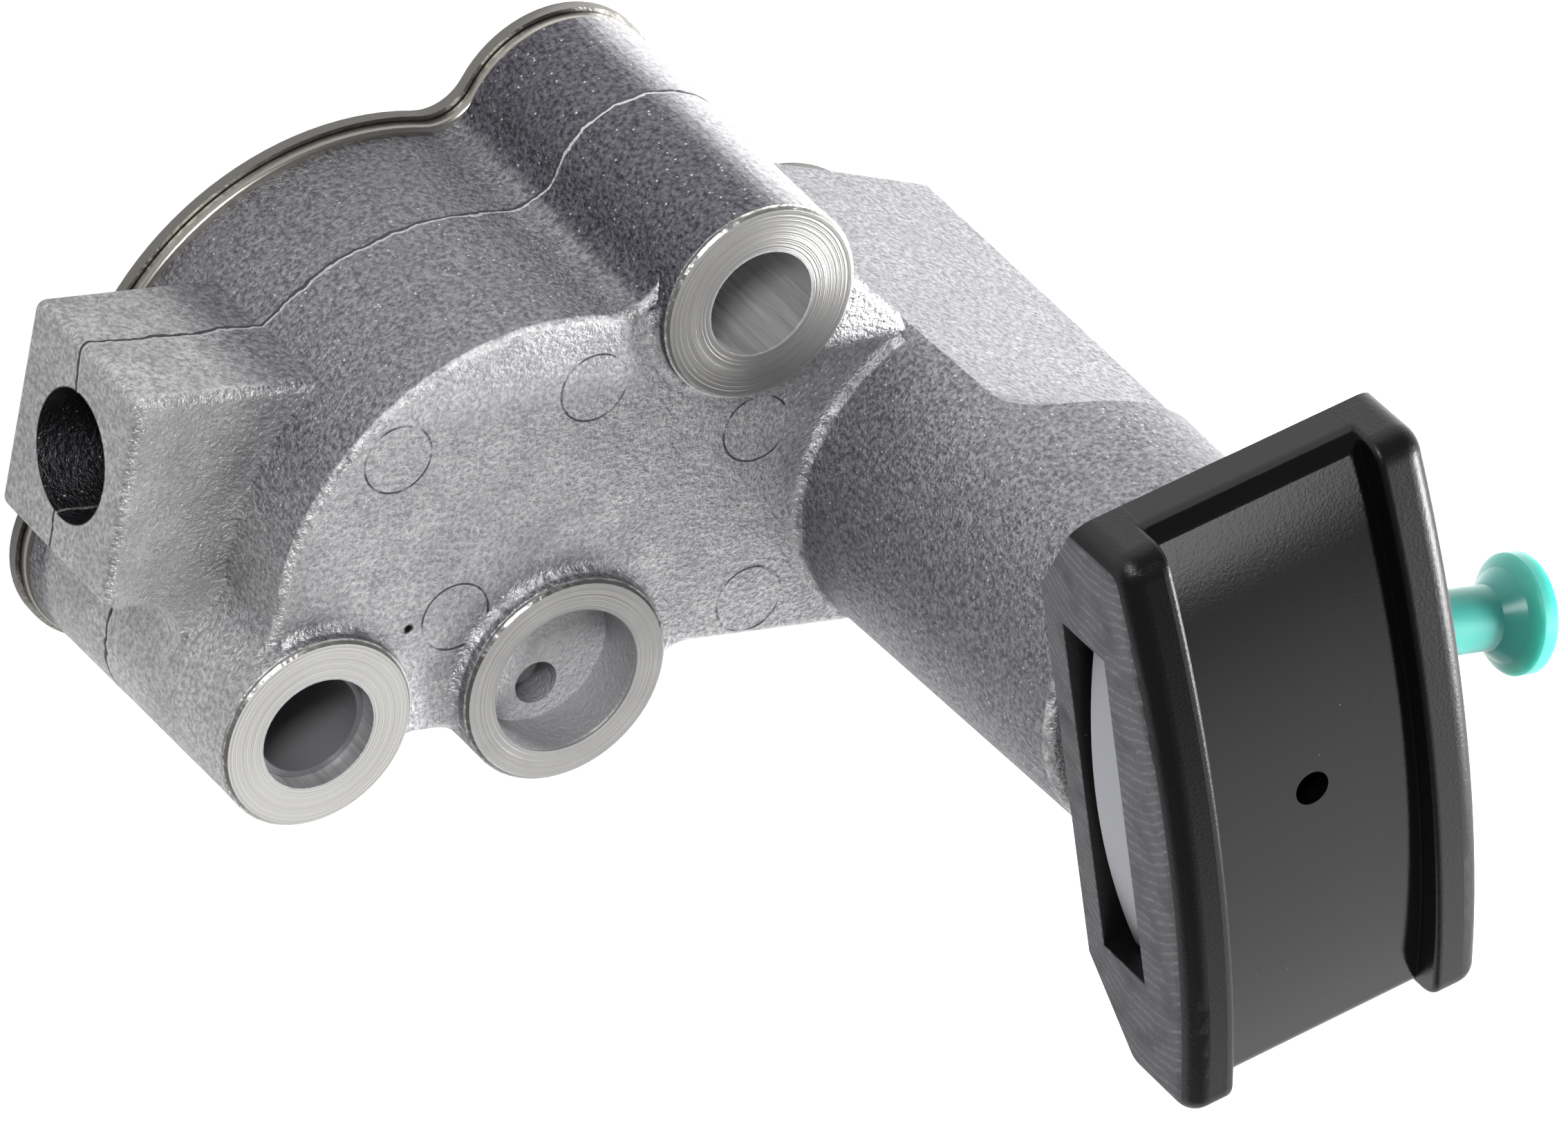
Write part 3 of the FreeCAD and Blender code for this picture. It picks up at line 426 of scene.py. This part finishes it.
shape.free()
feet = bpy.data.objects.new("wall_feet", mesh)
scene.collection.objects.link(feet)
feet.data.materials.append(cast)
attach(feet, "root")

# Gasket: two layers of stamped stainless sheet. The front one has a rolled bead that shines next to
# the casting; the rear one shows its sheared edge. Two flush rivets hold them together.
sheet, tree, shader = finish("rolled_stainless", "B9B6AF", 1.0, 0.30)
dress(sheet, "gasket_front_layer")
edge, tree, shader = finish("sheared_stainless", "8F8D89", 1.0, 0.40)
torn = add(tree, "TexNoise", {"Vector": millimetres(tree), "Scale": 1.8, "Detail": 4.0})[0]
bumps = add(tree, "Bump", {"Height": torn, "Strength": 0.6, "Distance": 0.15 * MM})[0]
tree.links.new(bumps, shader["Normal"])
dress(edge, "gasket_rear_layer", "gasket_rivets")

# Locating sleeve: rolled steel, bored, pressed in a little below the face of the low boss. Its bore
# is dulled by oil and shade, so it is only partly metallic.
sleeve, tree, shader = finish("bored_steel", "909093", 0.3, 0.40)
dress(sleeve, "locating_sleeve")

# Plunger and check valve: turned and ground steel, oiled, with hard-drawn wire springs and a moulded
# filler. They are inside the tube, so only the plunger's nose can show.
ground, tree, shader = finish("ground_steel", "A6A6A8", 1.0, 0.22)
dress(ground, "plunger", "valve_seat", "check_ball", "ball_cage", "vent_disc")
wire, tree, shader = finish("drawn_wire", "77787C", 1.0, 0.35)
dress(wire, "plunger_spring", "ball_spring", "retaining_ring")
filler, tree, shader = finish("natural_acetal", "D9D2BE", 0.0, 0.45)
dress(filler, "volume_reducer")

# Shoe: glass-filled nylon, moulded black, glossy in the channel and finely grained on the flanges.
# Its left side is milled to size, which turns it grey and leaves curved cutter marks.
SHOE_TURN = 19.9
MILLED_MIDDLE = 57.8
CUTTER_R = 7.5
CUTTER_FEED = 0.75
CUTTER_WANDER = 0.9
# Edges of the milled face and of the channel, which fade over these distances across the shoe.
MILLED_EDGE = (-10.12, -10.16)
CHANNEL_EDGE = (6.90, 7.05)
FLANGE_START = 7.6
FLANGE_SLANT = (0.70, 0.90)
NYLON_BLACK = "0B0B0D"
NYLON_IOR = 1.45
CHANNEL_ROUGH = 0.10
FLANGE_ROUGH = 0.36
MILLED_ROUGH = 0.48
# Heights of the fine grain in the channel and on the flanges, of a cutter mark, and of the left
# flange's fall towards its edge for each millimetre.
CHANNEL_GRAIN = 0.12
FLANGE_GRAIN = 0.6
CUTTER_RIDGE = 0.7
FLANGE_FALL = -7.0
SHOE_RELIEF = 0.08
nylon, tree, shader = finish("black_nylon", NYLON_BLACK, 0.0, CHANNEL_ROUGH)
mm = millimetres(tree)
along = add(tree, "VectorRotate", {"Vector": mm, "Angle": math.radians(-SHOE_TURN)},
            rotation_type="Z_AXIS")[0]
xyz = add(tree, "SeparateXYZ", {0: along})
upward = add(tree, "SeparateXYZ", {0: add(tree, "NewGeometry")["True Normal"]})[2]
across = add(tree, "Math", {0: xyz[0]}, operation="ABSOLUTE")[0]
milled = where((xyz[0], *MILLED_EDGE))
flange = where((across, *CHANNEL_EDGE))
fine = add(tree, "TexNoise", {"Vector": mm, "Scale": 4.5, "Detail": 3.0, "Roughness": 0.7})[0]
wobble = add(tree, "TexNoise", {"Vector": mm, "Scale": 0.5, "Detail": 2.0})[0]

# Cutter marks: arcs of the cutter's radius, one feed apart along the milled face.
row = add(tree, "Math", {0: xyz[2], 1: MILLED_MIDDLE}, operation="SUBTRACT")[0]
row = add(tree, "Math", {0: row, 1: row}, operation="MULTIPLY")[0]
reach = add(tree, "Math", {0: CUTTER_R ** 2, 1: row}, operation="SUBTRACT")[0]
reach = add(tree, "Math", {0: reach, 1: 0.5}, operation="POWER")[0]
feed = add(tree, "Math", {0: wobble, 1: CUTTER_WANDER, 2: reach}, operation="MULTIPLY_ADD")[0]
feed = add(tree, "Math", {0: xyz[1], 1: feed}, operation="ADD")[0]
feed = add(tree, "Math", {0: feed, 1: 2 * math.pi / CUTTER_FEED}, operation="MULTIPLY")[0]
cutter = add(tree, "Math", {0: feed}, operation="SINE")[0]
groove = where((cutter, 0.2, 0.9), (fine, 0.35, 0.60), milled)

# The left flange falls away towards its edge, and a little dust lies on the whole shoe.
slope = add(tree, "Math", {0: xyz[0], 1: -1.0, 2: -FLANGE_START}, operation="MULTIPLY_ADD")[0]
slope = add(tree, "Math", {0: slope, 1: 0.0}, operation="MAXIMUM")[0]
slope = where(slope, (upward, *FLANGE_SLANT))
cells = add(tree, "TexVoronoi", {"Vector": mm, "Scale": 1.3})
dust = where((cells["Distance"], 0.08, 0.04), (cells["Color"], 0.86, 0.94))
black = linear(NYLON_BLACK)
for share, tone in (
        (where(milled, (fine, 0.0, 1.1)), linear("82838A")),
        (milled, linear("6D6E74")),
        (groove, linear("A2A3A8")),
        (where(milled, (wobble, 0.45, 0.75)), linear("4A4B50")),
        (dust, linear("8A8A8A"))):
    black = add(tree, "Mix", {"Factor": share, "A": black, "B": tone}, data_type="RGBA")["Result"]
tree.links.new(black, shader["Base Color"])
shader["IOR"].default_value = NYLON_IOR
dull = add(tree, "MapRange", {0: flange, 3: CHANNEL_ROUGH, 4: FLANGE_ROUGH})[0]
dull = add(tree, "MapRange", {0: milled, 3: dull, 4: MILLED_ROUGH})[0]
tree.links.new(dull, shader["Roughness"])
depth = add(tree, "MapRange", {0: flange, 3: CHANNEL_GRAIN, 4: FLANGE_GRAIN})[0]
texture = add(tree, "Math", {0: fine, 1: depth}, operation="MULTIPLY")[0]
texture = add(tree, "Math", {0: groove, 1: CUTTER_RIDGE, 2: texture}, operation="MULTIPLY_ADD")[0]
texture = add(tree, "Math", {0: slope, 1: FLANGE_FALL, 2: texture}, operation="MULTIPLY_ADD")[0]
bumps = add(tree, "Bump", {"Height": texture, "Strength": 0.6, "Distance": SHOE_RELIEF * MM})[0]
tree.links.new(bumps, shader["Normal"])
dress(nylon, "shoe")

# Clip: blanked steel plate, pushed in through the window in the shoe's milled side. Its cut face is
# a soft grey that shines little.
plate, tree, shader = finish("blanked_steel", "B6B7BC", 0.8, 0.42)
dress(plate, "shoe_clip")

# Transport pin: moulded polypropylene, teal and a little translucent, so that light spreads under
# its skin and its shaded side stays a clear teal.
teal, tree, shader = finish("teal_polypropylene", "56B9AF", 0.0, 0.30)
shader["Subsurface Weight"].default_value = 0.85
shader["Subsurface Radius"].default_value = (0.7, 1.3, 1.2)
shader["Subsurface Scale"].default_value = 2 * MM
dress(teal, "transport_pin")
